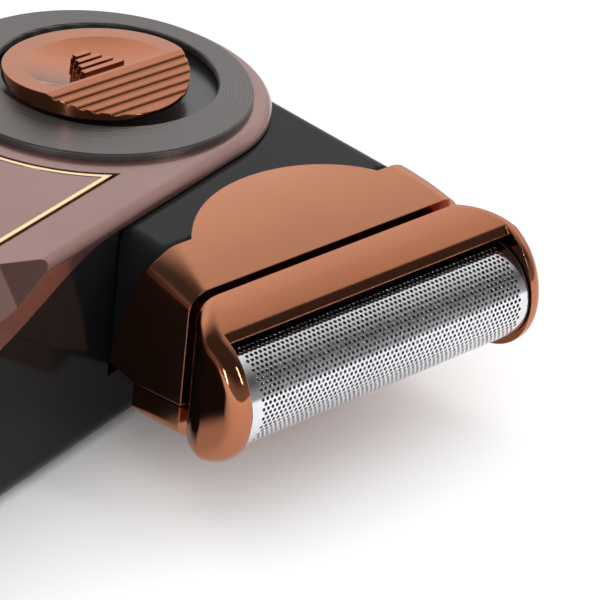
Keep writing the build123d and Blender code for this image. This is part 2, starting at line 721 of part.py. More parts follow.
def switch_knob():
    """Round thumb button: a ribbed ramp, and a stepped block in a scoop behind it."""
    rib_pitch = (KNOB_RADIUS - KNOB_RIDGE) / KNOB_RIBS
    slope = (KNOB_CREST - KNOB_EDGE) / (KNOB_RADIUS - KNOB_RIDGE)
    dish = knob_dish()
    with BuildPart() as knob:
        with BuildSketch(head_level(KNOB_UNDER)):
            Circle(KNOB_RADIUS)
        extrude(amount=KNOB_CREST - KNOB_UNDER)
        extrude(knob_roof(), amount=KNOB_RADIUS + CLEAR, both=True, mode=Mode.SUBTRACT)
        for number in range(1, KNOB_RIBS):
            along = KNOB_RIDGE + rib_pitch * number
            with BuildSketch(head_profile()):
                with Locations((along, KNOB_CREST - slope * rib_pitch * number + GROOVE_RISE)):
                    Circle(RIB_GROOVE)
            extrude(amount=KNOB_RADIUS + CLEAR, both=True, mode=Mode.SUBTRACT)
        add(dish, mode=Mode.SUBTRACT)
        for step in range(BLOCK_STEPS):
            with BuildSketch(head_level(BLOCK_FOOT)):
                with Locations((BLOCK_FRONT - BLOCK_PITCH * step, 0)):
                    Rectangle(BLOCK_PITCH, 2 * (BLOCK_HALF - BLOCK_TAPER * step))
            extrude(amount=BLOCK_LOW - BLOCK_FOOT)
            with BuildSketch(head_level(BLOCK_LOW)):
                with Locations((BLOCK_FRONT - BLOCK_PITCH * step, 0)):
                    Rectangle(BLOCK_RIB, 2 * (BLOCK_HALF - BLOCK_TAPER * step))
            extrude(amount=BLOCK_HIGH - BLOCK_LOW)
        with BuildSketch(head_level(HUB_TOP + SWITCH_LIFT)):
            Circle(KNOB_NECK)
        extrude(amount=KNOB_UNDER - HUB_TOP - SWITCH_LIFT)
        with BuildSketch(head_level(TONGUE_LOW)):
            Rectangle(TONGUE_LENGTH, TONGUE_WIDTH)
        extrude(amount=KNOB_UNDER - TONGUE_LOW)
    return knob


# ---- drive pieces -----------------------------------------------------------
CRANK_RADIUS = 3.4
CRANK_PIN = 0.9
CRANK_SHEET = 2.2
CRANK_BACK = 30.8
SHAFT_RADIUS = 0.76
SHAFT_DEPTH = 3.0           # how far the shaft reaches into the motor
SLIDE_CLEARANCE = 0.04
BRACKET_HEIGHT = 11.0
BRACKET_HOLES = 11.0
BRACKET_HOLE = 1.5
BRACKET_SHEET = 0.8
BRIDGE_BACK = 37.0
BRIDGE_FRONT = 39.4
BRIDGE_HALF = 7.0
BRIDGE_HEIGHT = 11.0
ROD_RADIUS = 0.8
ROD_RISE = 4.0
ROD_H = (BRIDGE_BACK + BRIDGE_FRONT) / 2
PIN_FRONT = 38.8
WINDOW_SLACK = 0.4          # room round the crank pin in the sliding block
BRIDGE_CORNER = 0.8
POST_SPREAD = 5.2
POST_THICK = 1.3
POST_TIP = 46.8
COLLAR_SHEET = 0.5
COLLAR_REACH = 1.2
SPRING_BACK = 42.6
SPRING_WIRE = 0.22
SPRING_TURNS = 3
COIL_RADIUS = 1.85
CARRIER_BACK = 45.6
CARRIER_HEIGHT = 10.4
CARRIER_CORNER = 1.0
CARRIER_SOCKET = 2.6        # depth of its two post sockets
BLADE_CORE = 3.6            # radius of the hole in each blade


def across_plane(along, start):
    """Upright plane facing across the head: x along it, y pointing down."""
    return Plane(origin=HEAD_X * along + HEAD_Y * start, x_dir=HEAD_X, z_dir=HEAD_Y)


def drive_motor():
    with BuildPart() as motor:
        with BuildSketch(head_section(MOTOR_BACK)):
            with Locations((0, MOTOR_Z)):
                Circle(MOTOR_RADIUS)
                Rectangle(3 * MOTOR_RADIUS, MOTOR_HEIGHT, mode=Mode.INTERSECT)
        extrude(amount=MOTOR_FRONT - MOTOR_BACK)
        with BuildSketch(head_section(MOTOR_FRONT)):
            with Locations((0, MOTOR_Z)):
                Circle(NOSE_RADIUS)
        extrude(amount=NOSE_LENGTH)
        with BuildSketch(head_section(MOTOR_FRONT - SHAFT_DEPTH - 1.0)):
            with Locations((0, MOTOR_Z)):
                Circle(SHAFT_RADIUS + SLIDE_CLEARANCE)
        extrude(amount=MOTOR_FRONT, mode=Mode.SUBTRACT)
    return motor


def motor_bracket():
    with BuildPart() as bracket:
        with BuildSketch(head_section(MOTOR_FRONT)):
            with Locations((0, MOTOR_Z)):
                Rectangle(2 * (ARM_HALF - ARM_WALL), BRACKET_HEIGHT)
                Circle(2 * NOSE_RADIUS, mode=Mode.SUBTRACT)
                with Locations((-BRACKET_HOLES, 0), (BRACKET_HOLES, 0)):
                    Circle(BRACKET_HOLE, mode=Mode.SUBTRACT)
        extrude(amount=BRACKET_SHEET)
    return bracket


def crank():
    """Motor shaft with its disc and off-centre pin, one turning piece."""
    front = CRANK_BACK + CRANK_SHEET
    with BuildPart() as wheel:
        with BuildSketch(head_section(MOTOR_FRONT - SHAFT_DEPTH)):
            with Locations((0, MOTOR_Z)):
                Circle(SHAFT_RADIUS)
        extrude(amount=CRANK_BACK + 1.0 - MOTOR_FRONT + SHAFT_DEPTH)
        with BuildSketch(head_section(CRANK_BACK)):
            with Locations((0, MOTOR_Z)):
                Circle(CRANK_RADIUS)
        extrude(amount=CRANK_SHEET)
        with BuildSketch(head_section(front)):
            with Locations((0, MOTOR_Z + STROKE)):
                Circle(CRANK_PIN)
        extrude(amount=PIN_FRONT - front)
    return wheel


def drive_bridge():
    """Sliding block that the crank pin works in, with two forward posts."""
    with BuildPart() as bridge:
        with BuildSketch(head_section(BRIDGE_BACK)):
            with Locations((0, MOTOR_Z)):
                RectangleRounded(2 * BRIDGE_HALF, BRIDGE_HEIGHT, BRIDGE_CORNER)
                Rectangle(
                    2 * (CRANK_PIN + 2 * STROKE) + WINDOW_SLACK,
                    2 * (CRANK_PIN + STROKE) + WINDOW_SLACK,
                    mode=Mode.SUBTRACT,
                )
        extrude(amount=BRIDGE_FRONT - BRIDGE_BACK)
        with BuildSketch(across_plane(ROD_H, -BRIDGE_HALF)):
            with Locations((0, -MOTOR_Z - ROD_RISE), (0, -MOTOR_Z + ROD_RISE)):
                Circle(ROD_RADIUS + SLIDE_CLEARANCE)
        extrude(amount=2 * BRIDGE_HALF, mode=Mode.SUBTRACT)
        with BuildSketch(head_section(BRIDGE_FRONT)):
            with Locations((-POST_SPREAD, FOIL_Z), (POST_SPREAD, FOIL_Z)):
                Circle(POST_THICK)
        extrude(amount=POST_TIP - BRIDGE_FRONT)
        with BuildSketch(head_section(SPRING_BACK - COLLAR_SHEET)):
            with Locations((-POST_SPREAD, FOIL_Z), (POST_SPREAD, FOIL_Z)):
                Circle(POST_THICK + COLLAR_REACH)
        extrude(amount=COLLAR_SHEET)
    return bridge


def guide_rods():
    with BuildPart() as rods:
        with BuildSketch(across_plane(ROD_H, -CHASSIS_HALF)):
            with Locations((0, -MOTOR_Z - ROD_RISE), (0, -MOTOR_Z + ROD_RISE)):
                Circle(ROD_RADIUS)
        extrude(amount=2 * CHASSIS_HALF)
    return rods


def cutter_carrier():
    with BuildPart() as carrier:
        with BuildSketch(head_section(CARRIER_BACK)):
            with Locations((0, FOIL_Z)):
                RectangleRounded(2 * CUTTER_HALF, CARRIER_HEIGHT, CARRIER_CORNER)
        extrude(amount=CUTTER_BACK - CARRIER_BACK)
        with BuildSketch(head_section(CARRIER_BACK)):
            with Locations((-POST_SPREAD, FOIL_Z), (POST_SPREAD, FOIL_Z)):
                Circle(POST_THICK + SLIDE_CLEARANCE)
        extrude(amount=CARRIER_SOCKET, mode=Mode.SUBTRACT)
    return carrier


def cutter_blades():
    """A row of thin half discs that shear under the foil."""
    pitch = (2 * CUTTER_HALF - BLADE_SHEET) / (BLADE_COUNT - 1)
    with BuildPart() as blades:
        for number in range(BLADE_COUNT):
            with BuildSketch(head_profile(-CUTTER_HALF + BLADE_SHEET + number * pitch)):
                with Locations((FOIL_H, FOIL_Z)):
                    Circle(CUTTER_RADIUS)
                    Circle(BLADE_CORE, mode=Mode.SUBTRACT)
                with Locations((CUTTER_BACK - 2 * CUTTER_RADIUS, FOIL_Z)):
                    Rectangle(4 * CUTTER_RADIUS, 4 * CUTTER_RADIUS, mode=Mode.SUBTRACT)
            extrude(amount=BLADE_SHEET)
    return blades


def cutter_springs():
    """Two small coils that press the cutter against the foil."""
    start = SPRING_BACK + SPRING_WIRE
    length = CARRIER_BACK - SPRING_WIRE - start
    pitch = length / SPRING_TURNS
    with BuildPart() as springs:
        for side in (-1, 1):
            centre = HEAD_X * start + HEAD_Y * (side * POST_SPREAD) + UP * FOIL_Z
            with BuildLine():
                coil = Helix(pitch, length, COIL_RADIUS, center=centre, direction=HEAD_X)
            with BuildSketch(Plane(origin=coil @ 0, z_dir=coil % 0)):
                Circle(SPRING_WIRE)
            sweep(path=coil)
    return springs


# ---- head pieces ------------------------------------------------------------
CHASSIS_SCREWS = [(40.0, -14.0), (40.0, 14.0)]
CHASSIS_SCREW_HEAD = 1.7
CHASSIS_SCREW_SEAT = 1.4
CHASSIS_HEAD_DEPTH = 1.0
CHASSIS_POST = 2.4          # height of the chassis' screw posts
CHASSIS_POST_RADIUS = 2.0
CHASSIS_CORNER = 0.8
PARTITION = 40.6            # the chassis' cross wall
PARTITION_SHEET = 1.2
DRIVE_WINDOW = (17.0, 5.4)  # opening in that wall for the two drive posts
DRIVE_WINDOW_CORNER = 1.5
LOBE_LOW = 27.2             # underside of the lobe that lies over the arm
ARM_SPACE_BACK = 20.0
HOUSING_MIDDLE = 35.0
HOUSING_RISE = 0.8          # the bottom rises this much towards the front
BOTTOM_ROUND = 1.6
SEAM_BACK = 12.0            # height of the seam between the housing's halves
SEAM_FRONT = 13.0
SHOULDER_TOP = 29.0
SHOULDER_CURVE = [(33.6, 24.0), (31.6, 18.3), (30.4, 12.9)]
# distance along the head, height of the top, rounding of its two corners
HOUSING_SECTIONS = [
    (26.5, 30.5, 8.0),
    (35.0, 30.0, 5.0),
    (HOUSING_FRONT, 27.95, 2.6),
]


def arm_space():
    """Section of the space inside the housing that the arm fills."""
    with BuildSketch(head_section(ARM_SPACE_BACK)) as section:
        with Locations((0, (ARM_BOTTOM + ARM_TOP) / 2)):
            Rectangle(2 * ARM_HALF, ARM_TOP - ARM_BOTTOM)
    return section.sketch


def chassis_space():
    """Section of the space inside the housing that the chassis fills."""
    with BuildSketch(head_section(ARM_LENGTH)) as section:
        with Locations((0, (CHASSIS_LOW + CHASSIS_HIGH) / 2)):
            Rectangle(2 * CHASSIS_HALF, CHASSIS_HIGH - CHASSIS_LOW)
    return section.sketch


def lower_edges(part):
    """The two lowest edges that run along the head, one on each side."""
    lengthwise = []
    for edge in part.edges():
        if abs(edge.tangent_at(0.5).dot(HEAD_X)) > cos(pi / 6):
            lengthwise.append(edge)
    return ShapeList(lengthwise).sort_by(Axis.Z)[:2]


def housing_section(along, top, corner):
    """Section across the housing, with its two upper corners rounded."""
    with BuildSketch(head_section(along)) as section:
        with BuildLine():
            Polyline(
                (-HOUSING_HALF, top - corner),
                (-HOUSING_HALF, SEAM_BACK - CLEAR),
                (HOUSING_HALF, SEAM_BACK - CLEAR),
                (HOUSING_HALF, top - corner),
            )
            right = CenterArc((HOUSING_HALF - corner, top - corner), corner, 0, 90)
            left = CenterArc((corner - HOUSING_HALF, top - corner), corner, 90, 90)
            Line(right @ 1, left @ 0)
        make_face()
    return section.sketch


def housing_top_reach():
    """What the top half fills seen from the side, with the round lobe above it."""
    with BuildPart() as reach:
        with BuildSketch(head_profile()):
            with BuildLine():
                Polyline(
                    (HOUSING_MIDDLE, SEAM_BACK),
                    (HOUSING_FRONT, SEAM_FRONT),
                    (HOUSING_FRONT, COVER_TOP),
                    (SHOULDER, COVER_TOP),
                    (SHOULDER, SHOULDER_TOP),
                )
                Spline((SHOULDER, SHOULDER_TOP), *SHOULDER_CURVE)
                Line(SHOULDER_CURVE[-1], (HOUSING_MIDDLE, SEAM_BACK))
            make_face()
        extrude(amount=HOUSING_HALF + CLEAR, both=True)
        with BuildSketch(head_level(LOBE_LOW)):
            with Locations((LOBE_BACK + LOBE_RADIUS, 0)):
                Circle(LOBE_RADIUS)
            with Locations((HOUSING_FRONT + LOBE_RADIUS, 0)):
                Rectangle(2 * LOBE_RADIUS, 2 * LOBE_RADIUS, mode=Mode.SUBTRACT)
        extrude(amount=COVER_TOP - LOBE_LOW)
    return reach.part


def head_housing_top():
    reach = housing_top_reach()
    with BuildPart() as housing:
        for along, top, corner in HOUSING_SECTIONS:
            add(housing_section(along, top, corner))
        loft()
        add(reach, mode=Mode.INTERSECT)
        extrude(arm_space(), amount=ARM_LENGTH - ARM_SPACE_BACK, mode=Mode.SUBTRACT)
        extrude(chassis_space(), amount=HOUSING_FRONT, mode=Mode.SUBTRACT)
    return housing


def head_housing_bottom():
    with BuildPart() as housing:
        with BuildSketch(head_profile()):
            with BuildLine():
                Polyline(
                    (HOUSING_MIDDLE, SEAM_BACK - HOUSING_SEAM),
                    (HOUSING_FRONT, SEAM_FRONT - HOUSING_SEAM),
                    (HOUSING_FRONT, HOUSING_BOTTOM + HOUSING_RISE),
                    (HOUSING_MIDDLE, HOUSING_BOTTOM),
                    (HOUSING_MIDDLE, SEAM_BACK - HOUSING_SEAM),
                )
            make_face()
        extrude(amount=HOUSING_HALF, both=True)
        fillet(lower_edges(housing), BOTTOM_ROUND)
        extrude(arm_space(), amount=ARM_LENGTH - ARM_SPACE_BACK, mode=Mode.SUBTRACT)
        extrude(chassis_space(), amount=HOUSING_FRONT, mode=Mode.SUBTRACT)
        with BuildSketch(head_level(0)):
            with Locations(*CHASSIS_SCREWS):
                Circle(CHASSIS_SCREW_HEAD + SCREW_SLACK)
        extrude(amount=HOUSING_BOTTOM + CHASSIS_SCREW_SEAT, mode=Mode.SUBTRACT)
        with BuildSketch(head_level(0)):
            with Locations(*CHASSIS_SCREWS):
                Circle(SMALL_SCREW_HOLE)
        extrude(amount=CHASSIS_LOW, mode=Mode.SUBTRACT)
    return housing


def chassis_screws():
    seat = HOUSING_BOTTOM + CHASSIS_SCREW_SEAT
    with BuildPart() as screws:
        with BuildSketch(head_level(seat)):
            with Locations(*CHASSIS_SCREWS):
                Circle(SMALL_SCREW)
        extrude(amount=CHASSIS_LOW + CHASSIS_POST - SCREW_SLACK - seat)
        with BuildSketch(head_level(seat)):
            with Locations(*CHASSIS_SCREWS):
                Circle(CHASSIS_SCREW_HEAD)
                RegularPolygon(ARM_SCREW_HEX, 6, mode=Mode.SUBTRACT)
        extrude(amount=-CHASSIS_HEAD_DEPTH)
    return screws


def head_chassis():
    middle = (CHASSIS_LOW + CHASSIS_HIGH) / 2
    height = CHASSIS_HIGH - CHASSIS_LOW
    with BuildPart() as chassis:
        with BuildSketch(head_section(CHASSIS_BACK)):
            with Locations((0, middle)):
                Rectangle(2 * CHASSIS_HALF, height)
                RectangleRounded(
                    2 * (CHASSIS_HALF - CHASSIS_WALL), height - 2 * CHASSIS_WALL, CHASSIS_CORNER,
                    mode=Mode.SUBTRACT,
                )
        extrude(amount=CHASSIS_FRONT - CHASSIS_BACK)
        with BuildSketch(head_section(PARTITION)):
            with Locations((0, middle)):
                Rectangle(2 * CHASSIS_HALF - CHASSIS_WALL, height - CHASSIS_WALL)
            with Locations((0, FOIL_Z)):
                RectangleRounded(*DRIVE_WINDOW, DRIVE_WINDOW_CORNER, mode=Mode.SUBTRACT)
        extrude(amount=PARTITION_SHEET)
        with BuildSketch(across_plane(ROD_H, -CHASSIS_HALF)):
            with Locations((0, -MOTOR_Z - ROD_RISE), (0, -MOTOR_Z + ROD_RISE)):
                Circle(ROD_RADIUS)
        extrude(amount=2 * CHASSIS_HALF, mode=Mode.SUBTRACT)
        with BuildSketch(head_level(CHASSIS_LOW)):
            with Locations(*CHASSIS_SCREWS):
                Circle(CHASSIS_POST_RADIUS)
        extrude(amount=CHASSIS_POST)
        with BuildSketch(head_level(CHASSIS_LOW)):
            with Locations(*CHASSIS_SCREWS):
                Circle(SMALL_SCREW)
        extrude(amount=CHASSIS_POST, mode=Mode.SUBTRACT)
    return chassis


FRAME_SLIP = 0.15
# side view of the frame's outline, from its top at the back round to its bottom
FRAME_CURVE = [
    (FRAME_BACK, FRAME_TOP_BACK), (50.5, 26.6), (54.1, 24.0), (56.0, 20.4), (FRAME_FRONT, 16.8),
    (55.3, 13.2), (52.6, 10.6), (49.5, 9.5), (FRAME_BACK, FRAME_BOTTOM),
]
FLARE_END = 49.0            # where the frame has widened to the cheeks
FLARE_REST = 0.4
PLUG_GAP = 0.15
PLUG_PIN = 1.1              # length of the pins that the foil hangs on
SILL_DROP = 0.8             # gap between the foil and the bar below it
PIN_RADIUS = 0.8
PIN_DEPTH = 1.2
PIN_SLACK = 0.05
FOIL_FLOAT = 0.8
FOIL_TAIL = CHASSIS_FRONT + 1.4
OPENING_BACK = CHASSIS_FRONT + 0.2


def frame_side():
    """Side view of the frame: a flat back and a cheek that bulges forwards."""
    with BuildSketch(head_profile()) as side_view:
        with BuildLine():
            Spline(*FRAME_CURVE)
            Line(FRAME_CURVE[-1], FRAME_CURVE[0])
        make_face()
    return side_view.sketch


def frame_plan():
    """Plan of the frame: it widens from its back to the cheeks."""
    front = FRAME_FRONT + CLEAR
    flare = FRAME_HALF - FLARE_REST
    with BuildSketch(head_level(0)) as plan:
        with BuildLine():
            Spline((FRAME_BACK, -FRAME_HALF_BACK), (FLARE_END, -flare), (front, -FRAME_HALF))
            Line((front, -FRAME_HALF), (front, FRAME_HALF))
            Spline((front, FRAME_HALF), (FLARE_END, flare), (FRAME_BACK, FRAME_HALF_BACK))
            Line((FRAME_BACK, FRAME_HALF_BACK), (FRAME_BACK, -FRAME_HALF_BACK))
        make_face()
    return plan.sketch


def foil_opening():
    """Side view of the opening that the foil cassette sits in."""
    front = FRAME_FRONT + CLEAR
    sill_top = FOIL_Z - FOIL_RADIUS - SILL_DROP
    with BuildSketch(head_profile()) as side_view:
        with BuildLine():
            Polyline(
                (LIP_FRONT - LIP_BEVEL, COVER_TOP), (LIP_FRONT - LIP_BEVEL, LIP_HIGH),
                (LIP_FRONT, LIP_UNDER), (OPENING_BACK, LIP_UNDER),
                (OPENING_BACK, sill_top), (SILL_FRONT, sill_top), (SILL_FRONT, 0),
                (front, 0), (front, COVER_TOP), (LIP_FRONT - LIP_BEVEL, COVER_TOP),
            )
        make_face()
    return side_view.sketch


def cheek_edges(part):
    """Outer edges of the two cheeks, without those at the frame's back."""
    chosen = []
    for edge in part.edges():
        middle = edge.position_at(0.5)
        if abs(middle.dot(HEAD_Y)) > OPENING_HALF and middle.dot(HEAD_X) > FRAME_BACK + 1:
            chosen.append(edge)
    return chosen


def foil_frame():
    with BuildPart() as frame:
        extrude(frame_side(), amount=FRAME_HALF, both=True)
        extrude(frame_plan(), amount=COVER_TOP, mode=Mode.INTERSECT)
        fillet(cheek_edges(frame), FRAME_ROUND)
        extrude(foil_opening(), amount=OPENING_HALF, both=True, mode=Mode.SUBTRACT)
        with BuildSketch(head_profile()):
            with Locations(((FRAME_BACK + OPENING_BACK) / 2, (CHASSIS_LOW + CHASSIS_HIGH) / 2)):
                Rectangle(
                    OPENING_BACK - FRAME_BACK + FRAME_SLIP,
                    CHASSIS_HIGH - CHASSIS_LOW + 2 * FRAME_SLIP,
                )
        extrude(amount=CHASSIS_HALF + FRAME_SLIP, both=True, mode=Mode.SUBTRACT)
        with BuildSketch(head_profile()):
            with Locations((FOIL_H - FOIL_FLOAT / 2, FOIL_Z)):
                SlotCenterToCenter(FOIL_FLOAT + 2 * PIN_SLACK, 2 * (PIN_RADIUS + PIN_SLACK))
        extrude(amount=OPENING_HALF + PIN_DEPTH, both=True, mode=Mode.SUBTRACT)
    return frame


def foil_outline(radius, back, across=0.0):
    """Side view of the foil's arch: a half round with straight tails."""
    with BuildSketch(head_profile(across)) as side_view:
        with BuildLine():
            arch = CenterArc((FOIL_H, FOIL_Z), radius, -90, 180)
            Line(arch @ 1, (back, FOIL_Z + radius))
            Line((back, FOIL_Z + radius), (back, FOIL_Z - radius))
            Line((back, FOIL_Z - radius), arch @ 0)
        make_face()
    return side_view.sketch


def foil():
    inner = FOIL_RADIUS - FOIL_SHEET
    with BuildPart() as sheet:
        extrude(foil_outline(FOIL_RADIUS, FOIL_TAIL), amount=FOIL_HALF, both=True)
        extrude(foil_outline(inner, FOIL_TAIL - CLEAR), amount=FOIL_HALF, both=True, mode=Mode.SUBTRACT)
    return sheet


def foil_end_plug(side):
    """End of the foil cassette: fills the arch and carries a pin."""
    outside = OPENING_HALF - PLUG_GAP
    insert = foil_outline(FOIL_RADIUS - FOIL_SHEET, FOIL_TAIL, side * PLUG_INNER)
    flange = foil_outline(FOIL_RADIUS, FOIL_TAIL, side * FOIL_HALF)
    with BuildPart() as plug:
        extrude(insert, amount=-side * (FOIL_HALF - PLUG_INNER))
        extrude(flange, amount=-side * (outside - FOIL_HALF))
        with BuildSketch(head_profile(side * outside)):
            with Locations((FOIL_H, FOIL_Z)):
                Circle(PIN_RADIUS)
        extrude(amount=-side * PLUG_PIN)
    return plug


def foil_end_plug_left():
    return foil_end_plug(1)


def foil_end_plug_right():
    return foil_end_plug(-1)


PIECES = [
    top_cover, inlay_trim, inlay_plate, bezel_ring, lower_body, handle_screws,
    battery, battery_clips, circuit_board, charging_socket, charge_light,
    pivot_axle, thrust_washer, spring_washer, retaining_clip, pivot_bush,
    arm_upper_shell, arm_lower_shell, arm_screws, hub_plate, slide_switch, switch_knob,
    drive_motor, motor_bracket, crank, drive_bridge, guide_rods,
    cutter_carrier, cutter_blades, cutter_springs,
    head_housing_top, head_housing_bottom, chassis_screws, head_chassis,
    foil_frame, foil, foil_end_plug_left, foil_end_plug_right,
]

os.makedirs("parts", exist_ok=True)
for make in PIECES:
    piece = make()
    piece.part.label = make.__name__
    export_step(piece.part, f"parts/{make.__name__}.step")
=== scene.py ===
import json
from math import cos, pi, radians, sin, sqrt

import bpy
from mathutils import Matrix, Vector


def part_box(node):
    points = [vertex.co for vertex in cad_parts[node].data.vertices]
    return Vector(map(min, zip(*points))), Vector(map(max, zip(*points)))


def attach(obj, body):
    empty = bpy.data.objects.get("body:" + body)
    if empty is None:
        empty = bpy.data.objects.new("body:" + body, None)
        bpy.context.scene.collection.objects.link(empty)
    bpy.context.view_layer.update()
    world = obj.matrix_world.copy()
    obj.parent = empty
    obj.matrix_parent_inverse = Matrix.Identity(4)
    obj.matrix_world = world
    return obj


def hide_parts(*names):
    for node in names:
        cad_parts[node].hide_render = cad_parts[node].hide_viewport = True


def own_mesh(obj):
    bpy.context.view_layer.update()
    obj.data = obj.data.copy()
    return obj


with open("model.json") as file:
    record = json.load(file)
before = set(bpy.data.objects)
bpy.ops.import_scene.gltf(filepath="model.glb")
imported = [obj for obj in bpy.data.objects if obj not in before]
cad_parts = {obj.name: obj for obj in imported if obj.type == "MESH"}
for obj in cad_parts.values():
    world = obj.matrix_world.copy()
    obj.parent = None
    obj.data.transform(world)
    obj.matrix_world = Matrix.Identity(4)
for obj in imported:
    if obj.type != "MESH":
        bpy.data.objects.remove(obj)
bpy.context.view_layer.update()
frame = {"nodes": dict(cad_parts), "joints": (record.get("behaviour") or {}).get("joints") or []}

# Swivel-head foil shaver: finishes for every carried-over piece, and the pieces
# that need finer mesh work.  Metres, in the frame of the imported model.

MM = 0.001
NODES = frame["nodes"]

# The head's own directions, read from the slide that takes the foil frame off.
JOINTS = {joint["name"]: joint for joint in frame["joints"]}
UP = Vector((0.0, 0.0, 1.0))
HEAD_X = Vector(JOINTS["foil_release"]["axis"]).normalized()
HEAD_Y = UP.cross(HEAD_X)


def reach(node, direction):
    """Lowest and highest position of a carried-over piece along a direction."""
    places = [vertex.co.dot(direction) for vertex in NODES[node].data.vertices]
    return min(places), max(places)


def in_head(along, across, up):
    """A point given along the head, across it and above the table."""
    return HEAD_X * along + HEAD_Y * across + UP * up


# ---- camera and light -------------------------------------------------------

CAMERA_PLACE = Vector((0.25018, -0.37755, 0.25879))
CAMERA_BACK = Vector((0.4338, -0.7545, 0.4926)).normalized()
CAMERA_RIGHT = Vector((0.8358, 0.5411, 0.0929))
SENSOR = 36.0
LENS = 240.0


def link(thing):
    """Puts an object in the scene and hands it back."""
    bpy.context.scene.collection.objects.link(thing)
    return thing


def aim(thing, place, target):
    """Puts a light at a place and points it at a target."""
    turn = (place - target).to_track_quat("Z", "Y")
    thing.matrix_world = Matrix.Translation(place) @ turn.to_matrix().to_4x4()


def make_camera():
    """A long lens above the head, looking down on it from its foil side."""
    camera = bpy.data.cameras.new("camera")
    camera.sensor_width = SENSOR
    camera.lens = LENS
    right = (CAMERA_RIGHT - CAMERA_BACK * CAMERA_RIGHT.dot(CAMERA_BACK)).normalized()
    over = CAMERA_BACK.cross(right)
    turn = Matrix((right, over, CAMERA_BACK)).transposed().to_4x4()
    holder = link(bpy.data.objects.new("camera", camera))
    holder.matrix_world = Matrix.Translation(CAMERA_PLACE) @ turn
    bpy.context.scene.camera = holder


# name, place, target, width, height, power in watts, seen in reflections
SOFTBOXES = [
    ("overhead_softbox", (0.10, -0.30, 1.20), (0.05, 0.0, 0.0), 2.4, 2.4, 24.0, False),
    ("front_fill", (0.45, -1.30, 0.45), (0.05, -0.05, 0.0), 1.6, 0.7, 7.0, False),
    ("right_fill", (1.30, 0.10, 0.40), (0.05, 0.0, 0.0), 1.6, 0.7, 5.0, False),
    ("front_strip", (0.05, -0.80, 0.16), (0.05, 0.0, 0.02), 0.05, 0.22, 0.9, True),
    ("right_strip", (0.75, 0.05, 0.45), (0.05, 0.0, 0.02), 0.07, 0.35, 1.2, True),
]


def make_lights():
    """Rectangular lamps; the wide ones light the table and stay out of the reflections."""
    for name, place, target, width, height, power, mirrored in SOFTBOXES:
        light = bpy.data.lights.new(name, "AREA")
        light.shape = "RECTANGLE"
        light.size = width
        light.size_y = height
        light.energy = power
        holder = link(bpy.data.objects.new(name, light))
        holder.visible_glossy = mirrored
        aim(holder, Vector(place), Vector(target))


# How bright the tent is, by height, on its back wall and on its near side.
BACK_WALL = [(0.0, 0.45), (0.22, 0.75), (0.45, 1.00), (0.66, 0.90), (0.86, 0.55), (1.0, 0.06)]
FRONT_WALL = [(0.0, 0.28), (0.20, 0.22), (0.45, 0.06), (1.0, 0.06)]
TENT_STRENGTH = 1.3
WALL_STARTS = 0.05              # where the back wall begins and is full, by direction
WALL_FULL = 0.50


def ramp(nodes, steps):
    """A grey ramp with the given steps."""
    node = nodes.new("ShaderNodeValToRGB")
    stops = node.color_ramp.elements
    while len(stops) < len(steps):
        stops.new(0.5)
    for stop, (place, grey) in zip(stops, steps):
        stop.position = place
        stop.color = (grey, grey, grey, 1)
    return node


def make_world():
    """A light tent: a bright back wall, darker overhead and on the near side."""
    world = bpy.data.worlds.new("light_tent")
    world.use_nodes = True
    nodes = world.node_tree.nodes
    links = world.node_tree.links
    place = nodes.new("ShaderNodeTexCoord").outputs["Generated"]
    split = nodes.new("ShaderNodeSeparateXYZ")
    links.new(place, split.inputs[0])
    facing = nodes.new("ShaderNodeVectorMath")
    facing.operation = "DOT_PRODUCT"
    facing.inputs[1].default_value = (-CAMERA_BACK.x, -CAMERA_BACK.y, 0.0)
    links.new(place, facing.inputs[0])
    side = nodes.new("ShaderNodeMapRange")
    side.interpolation_type = "SMOOTHSTEP"
    side.inputs["From Min"].default_value = WALL_STARTS
    side.inputs["From Max"].default_value = WALL_FULL
    links.new(facing.outputs["Value"], side.inputs["Value"])
    blend = nodes.new("ShaderNodeMix")
    blend.data_type = "RGBA"
    links.new(side.outputs[0], blend.inputs["Factor"])
    for label, steps in (("A", FRONT_WALL), ("B", BACK_WALL)):
        wall = ramp(nodes, steps)
        links.new(split.outputs["Z"], wall.inputs[0])
        links.new(wall.outputs["Color"], blend.inputs[label])
    links.new(blend.outputs["Result"], nodes["Background"].inputs["Color"])
    nodes["Background"].inputs["Strength"].default_value = TENT_STRENGTH
    bpy.context.scene.world = world


TABLE_SIZE = 4.0
TABLE_WHITE = (0.90, 0.90, 0.90, 1)
TABLE_ROUGHNESS = 0.9


def make_floor():
    """A plain pale table under the shaver."""
    material = bpy.data.materials.new("pale_table")
    material.use_nodes = True
    shader = material.node_tree.nodes["Principled BSDF"]
    shader.inputs["Base Color"].default_value = TABLE_WHITE
    shader.inputs["Roughness"].default_value = TABLE_ROUGHNESS
    bpy.ops.mesh.primitive_plane_add(size=TABLE_SIZE)
    floor = bpy.context.object
    floor.name = "table"
    floor.data.materials.append(material)


# ---- shader groups ----------------------------------------------------------

VALUE = "NodeSocketFloat"
VECTOR = "NodeSocketVector"

BEVEL_SAMPLES = 4
EDGE_BEND = (0.02, 0.22)        # how far the rounded normal leans where wear starts and is full
EDGE_SPECKLE = 900.0            # scale of the patches that break the wear up
PATCHES = (0.35, 0.65)          # the part of the speckle that is spread to 0 to 1
MID_NOISE = (0.3, 0.7)          # the same for smudges and grain
LATHE_OFFSET = 1.4              # keeps the lathe lines' wave above zero
LATHE_RANGE = (0.2, 1.4)        # and for the lathe lines


